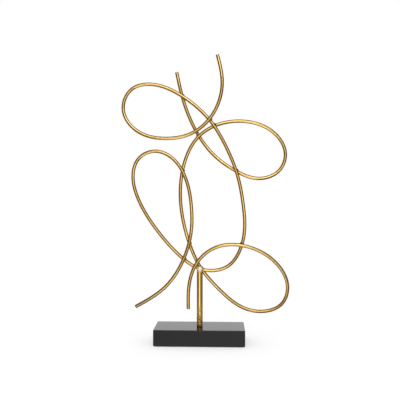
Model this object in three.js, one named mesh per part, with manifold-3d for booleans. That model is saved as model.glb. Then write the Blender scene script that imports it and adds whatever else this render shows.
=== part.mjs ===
// Loop sculpture: two bent gold rods that cross and loop over each other on a post and a black block.
// Millimetres, +Z up, +X to the right, and -Y towards the viewer.
// The origin is the middle of the underside, straight below the post.
import * as THREE from 'three';
import { mergeVertices } from 'three/addons/utils/BufferGeometryUtils.js';
import Module from 'manifold-3d';

// Block that the sculpture stands on
const BASE_WIDTH = 151;
const BASE_DEPTH = 70;
const BASE_HEIGHT = 26.5;
const BASE_CORNER_RADIUS = 1.2;
const BASE_EDGE_ROUNDING = 1;

// Felt sheet glued under the block
const FELT_THICKNESS = 1;
const FELT_INSET = 2;
const FELT_CORNER_RADIUS = 3;

// Post, a solid bar with a tapped hole in its foot
const POST_DIAMETER = 10;
const POST_LENGTH = 97;
const TAPPED_HOLE_SPARE = 3;

// Bolt and washer that draw the post down on the block
const BOLT_DIAMETER = 5;
const BOLT_ENGAGEMENT = 16;
const BOLT_HEAD_DIAMETER = 8.5;
const BOLT_HEAD_HEIGHT = 5;
const BOLT_HEAD_RECESS = 2;
const HEX_ACROSS_FLATS = 4;
const HEX_DEPTH = 2.5;
const WASHER_DIAMETER = 15;
const WASHER_THICKNESS = 1.2;
const BOLT_HOLE_CLEARANCE = 0.4;
const COUNTERBORE_CLEARANCE = 1;

// Rods, with the width and height between the outermost points of their routes, and the welds between them
const LOOPS_WIDTH = 277;
const LOOPS_HEIGHT = 431;
const ROD_DIAMETER = 6;
const ROD_GAP = 0.3;
const WELD_RADIUS = 2;
const WELD_TUCK = 0.85;
const WELD_REACH = 1;
const POST_WELD_LENGTH = 10;
const POST_WELD_HEIGHT = 9;
const POST_WELD_BULGE = 1.2;
const POST_BACK_WELD_LENGTH = 4.5;
const POST_BACK_WELD_HEIGHT = 4;
const POST_BACK_WELD_BULGE = 0.6;

// Space left around a piece that is cut to fit its neighbour
const FIT_GAP = 0.3;

// Facets
const ROD_SIDES = 12;
const ROD_STEP = 7;
const ROUND_SIDES = 24;
const BEAD_SIDES = 12;
const BEAD_RINGS = 8;
const EDGE_SEGMENTS = 3;
const HEX_SIDES = 6;
const CROSSING_STEP = 1.5;
const LENGTH_SAMPLES_PER_POINT = 20;
const MERGE_TOLERANCE = 1e-4;

// Routes of the rods on the squared pattern that they are bent to, which is drawn to fill LOOPS_WIDTH and
// LOOPS_HEIGHT. A point is [x, z, layer]: squares to the right of the post, squares above the place where
// the left loop rod lies on the post, and rod pitches towards the viewer.
const LEFT_LOOP_ROUTE = [
  [3, 35.9, 2.2], // upper free end
  [3.8, 31.3, 2.2],
  [1.8, 25.4, 2], // in front of itself
  [-1.4, 22.8, 1.9],
  [-6, 22, 1.8], // upper loop, bottom
  [-10.4, 23.2, 1.6],
  [-12.9, 27.1, 1.4], // upper loop, left
  [-11.3, 30.5, 1.2],
  [-8.5, 31.2, 1.1], // upper loop, top
  [-3, 29.2, 1], // in front of the other rod's upper end
  [1.7, 25.1, 1], // behind itself
  [4.7, 20.1, 0.8],
  [6.1, 16.7, 0.5], // in front of the other rod
  [7.4, 10.4, 0.1],
  [7.6, 7.1, 0], // right bow
  [6.8, 3.2, 0],
  [4.8, 0.5, 0],
  [1.8, -0.3, 0], // lowest place of the right bow
  [0, 0, 0], // on the post
  [-2.8, 1.7, 0], // behind its own tail
  [-7, 6.2, 0.2],
  [-10.5, 12, 0.5],
  [-11.3, 15.9, 0.7], // left loop, left
  [-10.3, 18.7, 0.8],
  [-7.6, 19.9, 0.9], // left loop, top
  [-4.6, 18.7, 1],
  [-2.9, 16.5, 1], // in front of the other rod
  [-1.4, 10.5, 1],
  [-1.4, 6.6, 1], // left loop, right
  [-2.7, 1.7, 1], // in front of itself
  [-5.8, -3, 1.5],
  [-10.7, -6.2, 2.8], // lower left free end
];
const RIGHT_LOOP_ROUTE = [
  [-3.9, 33.3, 0.2], // upper left free end
  [-3, 29.3, 0], // behind the other rod
  [-0.7, 23.5, -0.98], // behind the other rod and itself
  [2.5, 19.2, -0.9],
  [6.1, 16.6, -0.52], // behind the other rod
  [10, 15.3, -0.6], // upper loop, bottom
  [13.5, 16.7, -0.8],
  [14.5, 19.4, -0.8], // upper loop, right
  [12.6, 23, -0.6],
  [6.6, 25, -0.2], // upper loop, top
  [2.5, 24.2, -0.02], // behind the other rod
  [-0.2, 22.4, 0], // in front of itself
  [-2.4, 18.6, 0],
  [-3.3, 13.2, 0], // left bow
  [-1.8, 4.4, -0.05], // behind the other rod
  [0.4, -0.3, -1.05], // behind the other rod at the post
  [3.2, -3.5, -1.1],
  [7.3, -6.6, -0.7],
  [10.7, -7.2, -0.4], // lower loop, bottom
  [13.9, -5.8, -0.1],
  [14.8, -3, 0.2], // lower loop, right
  [12.9, 1, 0.6],
  [7.2, 4, 1], // in front of the other rod
  [3.1, 3.8, 1], // lower loop, top
  [-0.3, 1.3, 1], // in front of itself
  [-1.8, -2.9, 1],
  [-1.9, -6.7, 1.1], // lower middle free end
];

// Sizes and places that follow from the values above
const ROD_RADIUS = ROD_DIAMETER / 2;
const POST_RADIUS = POST_DIAMETER / 2;
const LAYER_PITCH = ROD_DIAMETER + ROD_GAP;
const BASE_BOTTOM = FELT_THICKNESS;
const BASE_TOP = BASE_BOTTOM + BASE_HEIGHT;
const SADDLE_HEIGHT = BASE_TOP + POST_LENGTH;
const BOLT_HOLE_RADIUS = BOLT_DIAMETER / 2 + BOLT_HOLE_CLEARANCE;
const COUNTERBORE_RADIUS = WASHER_DIAMETER / 2 + COUNTERBORE_CLEARANCE;
const BOLT_HEAD_BOTTOM = BASE_BOTTOM + BOLT_HEAD_RECESS;
const BOLT_HEAD_TOP = BOLT_HEAD_BOTTOM + BOLT_HEAD_HEIGHT;
const COUNTERBORE_ROOF = BOLT_HEAD_TOP + WASHER_THICKNESS;
const BOLT_TIP = BASE_TOP + BOLT_ENGAGEMENT;
const TAPPED_HOLE_END = BOLT_TIP + TAPPED_HOLE_SPARE;

// Finishes
const GOLD = { color: 0xc79c55, roughness: 0.28, metalness: 1 };
const BLACK_LACQUER = { color: 0x121213, roughness: 0.12, metalness: 0 };
const BLACK_FELT = { color: 0x1c1c1d, roughness: 0.95, metalness: 0 };
const ZINC_STEEL = { color: 0xa9abad, roughness: 0.4, metalness: 1 };

const wasm = await Module();
wasm.setup();

/** Turns a closed geometry into a solid that can be joined and cut. */
function toSolid(geometry) {
  const bare = geometry.clone();
  bare.deleteAttribute('normal');
  bare.deleteAttribute('uv');
  const merged = mergeVertices(bare, MERGE_TOLERANCE);
  const vertProperties = new Float32Array(merged.attributes.position.array);
  const triVerts = new Uint32Array(merged.index.array);
  return new wasm.Manifold(new wasm.Mesh({ numProp: 3, vertProperties, triVerts }));
}

/** Turns a solid back into a geometry. */
function toGeometry(solid) {
  const mesh = solid.getMesh();
  const geometry = new THREE.BufferGeometry();
  geometry.setAttribute('position', new THREE.BufferAttribute(mesh.vertProperties, mesh.numProp));
  geometry.setIndex(new THREE.BufferAttribute(mesh.triVerts, 1));
  geometry.computeVertexNormals();
  return geometry;
}

/** A named piece with its own material. */
function piece(name, geometry, finish) {
  const mesh = new THREE.Mesh(geometry, new THREE.MeshStandardMaterial(finish));
  mesh.name = name;
  return mesh;
}

/** A piece of revolution about the Z axis, from [radius, height] points that start and end on the axis. */
function turned(profile, sides = ROUND_SIDES) {
  const points = profile.map(([radius, height]) => new THREE.Vector2(radius, height));
  return new THREE.LatheGeometry(points, sides).rotateX(Math.PI / 2);
}

/** A round bar between two heights. */
function bar(radius, bottom, top) {
  return turned([[0, bottom], [radius, bottom], [radius, top], [0, top]]);
}

/** The outline of a rectangle with round corners, in the XY plane. */
function roundedRectangle(width, depth, radius) {
  const right = width / 2 - radius;
  const back = depth / 2 - radius;
  const outline = new THREE.Shape();
  outline.absarc(right, back, radius, 0, Math.PI / 2);
  outline.absarc(-right, back, radius, Math.PI / 2, Math.PI);
  outline.absarc(-right, -back, radius, Math.PI, 1.5 * Math.PI);
  outline.absarc(right, -back, radius, 1.5 * Math.PI, 2 * Math.PI);
  return outline;
}

/** A regular polygon whose corners lie on a circle. */
function polygon(radius, sides) {
  const corners = Array.from({ length: sides }, (_, corner) => {
    const angle = (2 * Math.PI * corner) / sides;
    return new THREE.Vector2(radius * Math.cos(angle), radius * Math.sin(angle));
  });
  return new THREE.Shape(corners);
}

/** The second derivatives of a natural cubic spline through values at knots, by the tridiagonal method. */
function splineCurvatures(knots, values) {
  const last = knots.length - 1;
  const curvature = new Array(last + 1).fill(0);
  const upper = new Array(last + 1).fill(0);
  const right = new Array(last + 1).fill(0);
  for (let i = 1; i < last; i += 1) {
    const before = knots[i] - knots[i - 1];
    const after = knots[i + 1] - knots[i];
    const slopeChange = (values[i + 1] - values[i]) / after - (values[i] - values[i - 1]) / before;
    const pivot = 2 * (before + after) - before * upper[i - 1];
    upper[i] = after / pivot;
    right[i] = (6 * slopeChange - before * right[i - 1]) / pivot;
  }
  for (let i = last - 1; i > 0; i -= 1) {
    curvature[i] = right[i] - upper[i] * curvature[i + 1];
  }
  return curvature;
}

/** The middle line of a bent rod: a natural cubic spline through points, spaced by their distances. */
class BentRodCurve extends THREE.Curve {
  constructor(points) {
    super();
    this.points = points;
    this.arcLengthDivisions = LENGTH_SAMPLES_PER_POINT * points.length;
    this.knots = [0];
    for (let i = 1; i < points.length; i += 1) {
      this.knots.push(this.knots[i - 1] + points[i].distanceTo(points[i - 1]));
    }
    const axisCurvatures = (axis) => splineCurvatures(this.knots, points.map((point) => point[axis]));
    this.curvatures = { x: axisCurvatures('x'), y: axisCurvatures('y'), z: axisCurvatures('z') };
  }

  getPoint(t, target = new THREE.Vector3()) {
    const place = t * this.knots.at(-1);
    let span = 0;
    while (span < this.knots.length - 2 && this.knots[span + 1] < place) {
      span += 1;
    }
    const length = this.knots[span + 1] - this.knots[span];
    const left = (this.knots[span + 1] - place) / length;
    const right = 1 - left;
    const leftBend = ((left ** 3 - left) * length ** 2) / 6;
    const rightBend = ((right ** 3 - right) * length ** 2) / 6;
    for (const axis of ['x', 'y', 'z']) {
      const ends = left * this.points[span][axis] + right * this.points[span + 1][axis];
      const bends = this.curvatures[axis];
      target[axis] = ends + leftBend * bends[span] + rightBend * bends[span + 1];
    }
    return target;
  }
}

/** The side of a pattern square along one column of the routes, when those fill a given length. */
function squareSide(length, column) {
  const places = [...LEFT_LOOP_ROUTE, ...RIGHT_LOOP_ROUTE].map((point) => point[column]);
  return length / (Math.max(...places) - Math.min(...places));
}

/** The middle line of a rod from its route. */
function rodCurve(route) {
  const squareWidth = squareSide(LOOPS_WIDTH, 0);
  const squareHeight = squareSide(LOOPS_HEIGHT, 1);
  const points = route.map(([x, z, layer]) => new THREE.Vector3(
    x * squareWidth,
    -layer * LAYER_PITCH,
    SADDLE_HEIGHT + z * squareHeight,
  ));
  return new BentRodCurve(points);
}

/** A round rod of a given radius along a curve. */
function rodAlong(curve, radius) {
  const steps = Math.round(curve.getLength() / ROD_STEP);
  return new THREE.ExtrudeGeometry(polygon(radius, ROD_SIDES), { extrudePath: curve, steps });
}

/** Points along a curve, a short step apart, for finding where rods cross. */
function walk(curve) {
  return curve.getSpacedPoints(Math.round(curve.getLength() / CROSSING_STEP));
}

/** Where the straight lines a-b and c-d cross as seen from the front, as shares of both, or null. */
function frontCrossing(a, b, c, d) {
  const across = (b.x - a.x) * (d.z - c.z) - (b.z - a.z) * (d.x - c.x);
  const first = ((c.x - a.x) * (d.z - c.z) - (c.z - a.z) * (d.x - c.x)) / across;
  const second = ((c.x - a.x) * (b.z - a.z) - (c.z - a.z) * (b.x - a.x)) / across;
  const inside = first >= 0 && first < 1 && second >= 0 && second < 1;
  return inside ? { first, second } : null;
}

/** Every place where two walked rods cross, seen from the front; a rod's crossings with itself come once. */
function crossings(walkOne, walkTwo) {
  const found = [];
  for (let i = 0; i + 1 < walkOne.length; i += 1) {
    const start = walkOne === walkTwo ? i + 2 : 0;
    for (let j = start; j + 1 < walkTwo.length; j += 1) {
      const shares = frontCrossing(walkOne[i], walkOne[i + 1], walkTwo[j], walkTwo[j + 1]);
      if (shares) {
        found.push({
          one: walkOne[i].clone().lerp(walkOne[i + 1], shares.first),
          two: walkTwo[j].clone().lerp(walkTwo[j + 1], shares.second),
          oneWay: walkOne[i + 1].clone().sub(walkOne[i]).setY(0).normalize(),
          twoWay: walkTwo[j + 1].clone().sub(walkTwo[j]).setY(0).normalize(),
        });
      }
    }
  }
  return found;
}

/** The place of a weld: half-way between two crossing rods, tucked into the upper of the two wide corners. */
function weldPlace({ one, two, oneWay, twoWay }) {
  const forwards = oneWay.dot(twoWay) < 0 ? twoWay.clone().negate() : twoWay;
  const wide = oneWay.clone().sub(forwards).normalize();
  const upward = wide.z < 0 ? wide.negate() : wide;
  const corner = ROD_RADIUS / oneWay.clone().cross(upward).length();
  return one.clone().add(two).multiplyScalar(0.5).addScaledVector(upward, WELD_TUCK * corner);
}

/** An oval bead of weld, given its half sizes. */
function bead(place, halfX, halfY, halfZ) {
  const oval = new THREE.SphereGeometry(1, BEAD_SIDES, BEAD_RINGS).scale(halfX, halfY, halfZ);
  return toSolid(oval.translate(place.x, place.y, place.z));
}

const leftLoopCurve = rodCurve(LEFT_LOOP_ROUTE);
const rightLoopCurve = rodCurve(RIGHT_LOOP_ROUTE);
const roomForRods = toSolid(rodAlong(leftLoopCurve, ROD_RADIUS + FIT_GAP))
  .add(toSolid(rodAlong(rightLoopCurve, ROD_RADIUS + FIT_GAP)));
const roomForPost = toSolid(bar(POST_RADIUS + FIT_GAP, BASE_TOP, SADDLE_HEIGHT + FIT_GAP));

/** The black block, drilled from below for the bolt and its washer. */
function baseBlock() {
  const outline = roundedRectangle(BASE_WIDTH, BASE_DEPTH, BASE_CORNER_RADIUS);
  const block = new THREE.ExtrudeGeometry(outline, {
    depth: BASE_HEIGHT - 2 * BASE_EDGE_ROUNDING,
    curveSegments: EDGE_SEGMENTS,
    bevelThickness: BASE_EDGE_ROUNDING,
    bevelSize: BASE_EDGE_ROUNDING,
    bevelOffset: -BASE_EDGE_ROUNDING,
    bevelSegments: EDGE_SEGMENTS,
  }).translate(0, 0, BASE_BOTTOM + BASE_EDGE_ROUNDING);
  const drill = turned([
    [0, BASE_BOTTOM - FIT_GAP],
    [COUNTERBORE_RADIUS, BASE_BOTTOM - FIT_GAP],
    [COUNTERBORE_RADIUS, COUNTERBORE_ROOF],
    [BOLT_HOLE_RADIUS, COUNTERBORE_ROOF],
    [BOLT_HOLE_RADIUS, BASE_TOP + FIT_GAP],
    [0, BASE_TOP + FIT_GAP],
  ]);
  return piece('base_block', toGeometry(toSolid(block).subtract(toSolid(drill))), BLACK_LACQUER);
}

/** The felt sheet that covers the underside and the bolt. */
function feltSheet() {
  const width = BASE_WIDTH - 2 * FELT_INSET;
  const depth = BASE_DEPTH - 2 * FELT_INSET;
  const outline = roundedRectangle(width, depth, FELT_CORNER_RADIUS);
  const sheet = new THREE.ExtrudeGeometry(outline, {
    depth: FELT_THICKNESS,
    curveSegments: EDGE_SEGMENTS,
    bevelEnabled: false,
  });
  return piece('felt_sheet', sheet, BLACK_FELT);
}

/** The post, hollowed at the top to take the rods and drilled at the foot for the bolt. */
function post() {
  const tappedHole = bar(BOLT_DIAMETER / 2 + FIT_GAP, BASE_TOP - FIT_GAP, TAPPED_HOLE_END);
  const solid = toSolid(bar(POST_RADIUS, BASE_TOP, SADDLE_HEIGHT))
    .subtract(toSolid(tappedHole))
    .subtract(roomForRods);
  return piece('post', toGeometry(solid), GOLD);
}

/** The socket-head bolt, from its head below the washer up into the post. */
function baseBolt() {
  const body = turned([
    [0, BOLT_HEAD_BOTTOM],
    [BOLT_HEAD_DIAMETER / 2, BOLT_HEAD_BOTTOM],
    [BOLT_HEAD_DIAMETER / 2, BOLT_HEAD_TOP],
    [BOLT_DIAMETER / 2, BOLT_HEAD_TOP],
    [BOLT_DIAMETER / 2, BOLT_TIP],
    [0, BOLT_TIP],
  ]);
  const hexCornerRadius = HEX_ACROSS_FLATS / 2 / Math.cos(Math.PI / HEX_SIDES);
  const hexagon = polygon(hexCornerRadius, HEX_SIDES);
  const socket = new THREE.ExtrudeGeometry(hexagon, { depth: HEX_DEPTH + FIT_GAP, bevelEnabled: false })
    .translate(0, 0, BOLT_HEAD_BOTTOM - FIT_GAP);
  return piece('base_bolt', toGeometry(toSolid(body).subtract(toSolid(socket))), ZINC_STEEL);
}

/** The flat washer between the bolt's head and the roof of the counterbore. */
function boltWasher() {
  const ring = turned([
    [BOLT_HOLE_RADIUS, BOLT_HEAD_TOP],
    [WASHER_DIAMETER / 2, BOLT_HEAD_TOP],
    [WASHER_DIAMETER / 2, COUNTERBORE_ROOF],
    [BOLT_HOLE_RADIUS, COUNTERBORE_ROOF],
    [BOLT_HOLE_RADIUS, BOLT_HEAD_TOP],
  ]);
  return piece('bolt_washer', ring, ZINC_STEEL);
}

/** The welds that hold the left loop rod on the post: a full one before the rod and a small one behind it. */
function postWelds() {
  const lip = (ROD_RADIUS + POST_RADIUS) / 2;
  const weld = (name, x, y, length, height, bulge) => {
    const place = new THREE.Vector3(x, y, SADDLE_HEIGHT);
    const blob = bead(place, length / 2, POST_RADIUS + bulge - lip, height / 2);
    return piece(name, toGeometry(blob.subtract(roomForRods).subtract(roomForPost)), GOLD);
  };
  const backX = -POST_RADIUS / 2;
  return [
    weld('post_weld_front', 0, -lip, POST_WELD_LENGTH, POST_WELD_HEIGHT, POST_WELD_BULGE),
    weld('post_weld_back', backX, lip, POST_BACK_WELD_LENGTH, POST_BACK_WELD_HEIGHT, POST_BACK_WELD_BULGE),
  ];
}

/** A weld at each crossing where the rods touch. */
function crossingWelds() {
  const leftLoop = walk(leftLoopCurve);
  const rightLoop = walk(rightLoopCurve);
  const touching = [
    ...crossings(leftLoop, leftLoop),
    ...crossings(leftLoop, rightLoop),
    ...crossings(rightLoop, rightLoop),
  ].filter(({ one, two }) => Math.abs(one.y - two.y) < ROD_DIAMETER + WELD_REACH);
  return touching.map((crossing, index) => {
    const ball = bead(weldPlace(crossing), WELD_RADIUS, WELD_RADIUS, WELD_RADIUS);
    const solid = ball.subtract(roomForRods).subtract(roomForPost);
    return piece(`crossing_weld_${index + 1}`, toGeometry(solid), GOLD);
  });
}

const sculpture = new THREE.Group();
sculpture.name = 'loop_sculpture';
sculpture.add(
  feltSheet(),
  baseBlock(),
  baseBolt(),
  boltWasher(),
  post(),
  piece('left_loop_rod', rodAlong(leftLoopCurve, ROD_RADIUS), GOLD),
  piece('right_loop_rod', rodAlong(rightLoopCurve, ROD_RADIUS), GOLD),
  ...postWelds(),
  ...crossingWelds(),
);

export default sculpture;
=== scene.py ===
"""Dresses the loop sculpture: two gold-leafed rods, bent into loops and welded on a post on a block.

Metres, +Z up, +X to the right, -Y towards the viewer. The origin is under the middle of the post.
"""

import logging
import math
from dataclasses import dataclass, field
from enum import Enum
from functools import cached_property

import bpy
import numpy as np
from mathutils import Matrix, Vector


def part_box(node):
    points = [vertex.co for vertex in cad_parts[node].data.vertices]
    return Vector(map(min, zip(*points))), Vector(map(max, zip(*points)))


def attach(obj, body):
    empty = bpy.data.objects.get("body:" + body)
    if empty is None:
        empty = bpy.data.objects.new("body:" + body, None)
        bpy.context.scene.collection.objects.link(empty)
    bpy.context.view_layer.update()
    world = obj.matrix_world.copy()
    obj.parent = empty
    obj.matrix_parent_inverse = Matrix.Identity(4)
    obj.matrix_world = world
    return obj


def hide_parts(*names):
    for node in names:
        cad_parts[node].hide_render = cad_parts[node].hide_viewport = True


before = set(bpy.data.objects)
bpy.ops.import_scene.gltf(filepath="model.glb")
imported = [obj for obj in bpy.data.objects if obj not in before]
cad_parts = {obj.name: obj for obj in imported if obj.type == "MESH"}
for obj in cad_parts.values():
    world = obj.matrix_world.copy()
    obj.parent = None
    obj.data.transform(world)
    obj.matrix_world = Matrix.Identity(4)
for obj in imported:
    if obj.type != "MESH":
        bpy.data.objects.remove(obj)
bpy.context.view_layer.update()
BODY = "root"
log = logging.getLogger("loop_sculpture")

# Bending pattern of the rods
PATTERN_SQUARE = 0.010
ROD_RADIUS = 0.00296
LAYER_PITCH = 0.0063

# Routes of the rods on the pattern. A point is [x, z, layer]: squares to the right of the post, squares
# above the place where the left loop rod lies on the post, and rod pitches towards the viewer.
LEFT_LOOP_ROUTE = [
    [3, 35.9, 2.2],  # upper free end
    [3.8, 31.3, 2.2],
    [1.8, 25.4, 2],  # in front of itself
    [-1.4, 22.8, 1.9],
    [-6, 22, 1.8],  # upper loop, bottom
    [-10.4, 23.2, 1.6],
    [-12.9, 27.1, 1.4],  # upper loop, left
    [-11.3, 30.5, 1.2],
    [-8.5, 31.2, 1.1],  # upper loop, top
    [-3, 29.2, 1],  # in front of the other rod's upper end
    [1.7, 25.1, 1],  # behind itself
    [4.7, 20.1, 0.8],
    [6.1, 16.7, 0.5],  # in front of the other rod
    [7.4, 10.4, 0.1],
    [7.6, 7.1, 0],  # right bow
    [6.8, 3.2, 0],
    [4.8, 0.5, 0],
    [1.8, -0.3, 0],  # lowest place of the right bow
    [0, 0, 0],  # on the post
    [-2.8, 1.7, 0],  # behind its own tail
    [-7, 6.2, 0.2],
    [-10.5, 12, 0.5],
    [-11.3, 15.9, 0.7],  # left loop, left
    [-10.3, 18.7, 0.8],
    [-7.6, 19.9, 0.9],  # left loop, top
    [-4.6, 18.7, 1],
    [-2.9, 16.5, 1],  # in front of the other rod
    [-1.4, 10.5, 1],
    [-1.4, 6.6, 1],  # left loop, right
    [-2.7, 1.7, 1],  # in front of itself
    [-5.8, -3, 1.5],
    [-10.7, -6.2, 2.8],  # lower left free end
]
RIGHT_LOOP_ROUTE = [
    [-3.9, 33.3, 0.2],  # upper left free end
    [-3, 29.3, 0],  # behind the other rod
    [-0.7, 23.5, -0.98],  # behind the other rod and itself
    [2.5, 19.2, -0.9],
    [6.1, 16.6, -0.52],  # behind the other rod
    [10, 15.3, -0.6],  # upper loop, bottom
    [13.5, 16.7, -0.8],
    [14.5, 19.4, -0.8],  # upper loop, right
    [12.6, 23, -0.6],
    [6.6, 25, -0.2],  # upper loop, top
    [2.5, 24.2, -0.02],  # behind the other rod
    [-0.2, 22.4, 0],  # in front of itself
    [-2.4, 18.6, 0],
    [-3.3, 13.2, 0],  # left bow
    [-1.8, 4.4, -0.05],  # behind the other rod
    [0.4, -0.3, -1.05],  # behind the other rod at the post
    [3.2, -3.5, -1.1],
    [7.3, -6.6, -0.7],
    [10.7, -7.2, -0.4],  # lower loop, bottom
    [13.9, -5.8, -0.1],
    [14.8, -3, 0.2],  # lower loop, right
    [12.9, 1, 0.6],
    [7.2, 4, 1],  # in front of the other rod
    [3.1, 3.8, 1],  # lower loop, top
    [-0.3, 1.3, 1],  # in front of itself
    [-1.8, -2.9, 1],
    [-1.9, -6.7, 1.1],  # lower middle free end
]

Colour = tuple[float, float, float]
Place = tuple[float, float, float]
Socket = bpy.types.NodeSocket

WHITE: Colour = (1.0, 1.0, 1.0)
BLACK: Colour = (0.0, 0.0, 0.0)

# Numbers of a Mix node's colour sockets
MIX_FIRST = 6
MIX_SECOND = 7
MIX_RESULT = 2

# Weight of a noise's finer layers, where a noise has no weight of its own
FINER_WEIGHT = 0.55

# Least values that a division and a logarithm are given
LEAST_DIVISOR = 1e-12
LEAST_SUM = 1e-300


class Ends(Enum):
    """How a surface's first and last rings are closed."""

    CAPPED = "each end runs together in one point"
    JOINED = "the last ring meets the first"


class Slot(Enum):
    """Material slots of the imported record."""

    ROD = "gold_rod"
    POST = "gold_post"
    WELD = "gold_weld"
    LACQUER = "black_lacquer"
    FELT = "felt"


def shaded(colour: Colour) -> tuple[float, float, float, float]:
    """A colour with full alpha, as colour sockets take it."""
    return (*colour, 1.0)


class NodeSheet:
    """Short ways to add nodes to one shader tree and to join them."""

    def __init__(self, tree: bpy.types.NodeTree) -> None:
        """Keeps the tree that the nodes go into."""
        self.tree = tree

    def fill(self, node: bpy.types.Node, values: dict) -> None:
        """Fills a node's inputs.

        Args:
            node: The node.
            values: What its inputs hold, by name or number: a value, or a socket that is joined to it.
        """
        for name, value in values.items():
            if isinstance(value, Socket):
                self.tree.links.new(value, node.inputs[name])
            else:
                node.inputs[name].default_value = value

    def add(self, kind: str, values: dict, **settings: object) -> bpy.types.Node:
        """Adds a node.

        Args:
            kind: The node's type, without the leading ShaderNode.
            values: What its inputs hold, by name or number.
            settings: The node's own properties.

        Returns:
            The new node.
        """
        node = self.tree.nodes.new("ShaderNode" + kind)
        for name, setting in settings.items():
            setattr(node, name, setting)
        self.fill(node, values)
        return node

    def object_place(self) -> Socket:
        """The place on the piece, in the object's own coordinates."""
        return self.add("TexCoord", {}).outputs["Object"]

    def along(self, axis: str, place: Socket) -> Socket:
        """One coordinate of a place."""
        return self.add("SeparateXYZ", {0: place}).outputs[axis]

    def attribute(self, name: str) -> Socket:
        """The values that the mesh holds under a name."""
        return self.add("Attribute", {}, attribute_name=name).outputs["Fac"]

    def blend(self, share: Socket, low: Socket | Colour, high: Colour) -> Socket:
        """Mixes two colours.

        Args:
            share: Socket of the share of high.
            low: Socket of the first colour, or the colour itself.
            high: The second colour.

        Returns:
            The socket of the mixed colour.
        """
        first = low if isinstance(low, Socket) else shaded(low)
        values = {0: share, MIX_FIRST: first, MIX_SECOND: shaded(high)}
        return self.add("Mix", values, data_type="RGBA").outputs[MIX_RESULT]

    def span(
        self,
        value: Socket,
        start: float,
        end: float,
        low: float = 0.0,
        high: float = 1.0,
        **settings: object,
    ) -> Socket:
        """Maps a value that runs from start to end on low to high, held at both ends.

        Args:
            value: Socket that is mapped.
            start: Value that gives low.
            end: Value that gives high.
            low: Result at start.
            high: Result at end.
            settings: The node's own properties.

        Returns:
            The socket of the result.
        """
        values = {"Value": value, "From Min": start, "From Max": end, "To Min": low, "To Max": high}
        return self.add("MapRange", values, **settings).outputs["Result"]

    def times(self, one: Socket, other: Socket | float) -> Socket:
        """The product of two values."""
        return self.add("Math", {0: one, 1: other}, operation="MULTIPLY").outputs[0]

    def most(self, one: Socket, other: Socket) -> Socket:
        """The larger of two values."""
        return self.add("Math", {0: one, 1: other}, operation="MAXIMUM").outputs[0]

    def noise(
        self, place: Socket, scale: Socket | float, detail: float, roughness: float = FINER_WEIGHT
    ) -> Socket:
        """Cloudy noise.

        Args:
            place: Socket of the coordinates.
            scale: Waves in a metre.
            detail: Number of finer layers.
            roughness: Weight of the finer layers.

        Returns:
            The socket of the noise, about 0.3 to 0.7.
        """
        values = {"Vector": place, "Scale": scale, "Detail": detail, "Roughness": roughness}
        return self.add("TexNoise", values).outputs[0]

    def bump(self, height: Socket, strength: float, depth: float) -> Socket:
        """The normal of a surface with small heights.

        Args:
            height: Socket of the height, 0 to 1.
            strength: Share of the bump that shows.
            depth: Depth of height 1, in metres.

        Returns:
            The socket of the normal.
        """
        values = {"Height": height, "Strength": strength, "Distance": depth}
        return self.add("Bump", values).outputs["Normal"]


@dataclass(frozen=True)
class NoiseLayer:
    """One output of a group of noises.

    Attributes:
        name: Name of the output. The input for its waves in a metre adds Scale to it.
        detail: Number of finer layers.
        start: Noise that gives 0.
        end: Noise that gives 1.
        roughness: Weight of the finer layers.
    """

    name: str
    detail: float
    start: float
    end: float
    roughness: float = FINER_WEIGHT


def noise_group(name: str, *layers: NoiseLayer) -> bpy.types.NodeTree:
    """Builds a node group of noises, each stretched to run from 0 to 1.

    Args:
        name: Name of the group.
        layers: Its outputs.

    Returns:
        The group, with a Vector and the layers' scales as inputs.
    """
    tree = bpy.data.node_groups.new(name, "ShaderNodeTree")
    tree.interface.new_socket("Vector", in_out="INPUT", socket_type="NodeSocketVector")
    for layer in layers:
        tree.interface.new_socket(layer.name + " Scale", in_out="INPUT", socket_type="NodeSocketFloat")
        tree.interface.new_socket(layer.name, in_out="OUTPUT", socket_type="NodeSocketFloat")
    given = tree.nodes.new("NodeGroupInput").outputs
    end = tree.nodes.new("NodeGroupOutput")
    sheet = NodeSheet(tree)
    for layer in layers:
        noise = sheet.noise(given["Vector"], given[layer.name + " Scale"], layer.detail, layer.roughness)
        sheet.fill(end, {layer.name: sheet.span(noise, layer.start, layer.end)})
    return tree


# Unevenness of gold leaf: slow clouds of tone, a fine grain, specks of thin leaf, and blotches that break
# up the darkening towards the foot
GILDING = noise_group(
    "gilding",
    NoiseLayer("Cloud", detail=2.0, start=0.34, end=0.66),
    NoiseLayer("Grain", detail=4.0, start=0.25, end=0.75, roughness=0.65),
    NoiseLayer("Speck", detail=3.0, start=0.55, end=0.68, roughness=0.6),
    NoiseLayer("Blotch", detail=3.0, start=0.38, end=0.60),
)

# Traces of handling on a smooth face: broad smears, and dust as fine specks
HANDLING = noise_group(
    "handling",
    NoiseLayer("Smear", detail=5.0, start=0.42, end=0.72, roughness=0.6),
    NoiseLayer("Dust", detail=1.0, start=0.70, end=0.78),
)


def new_material(name: str) -> tuple[NodeSheet, bpy.types.Node, bpy.types.Material]:
    """Starts a material.

    Args:
        name: Name of the material.

    Returns:
        Its sheet of nodes, its Principled shader, and the material.
    """
    material = bpy.data.materials.new(name)
    material.use_nodes = True
    return NodeSheet(material.node_tree), material.node_tree.nodes["Principled BSDF"], material


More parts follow.
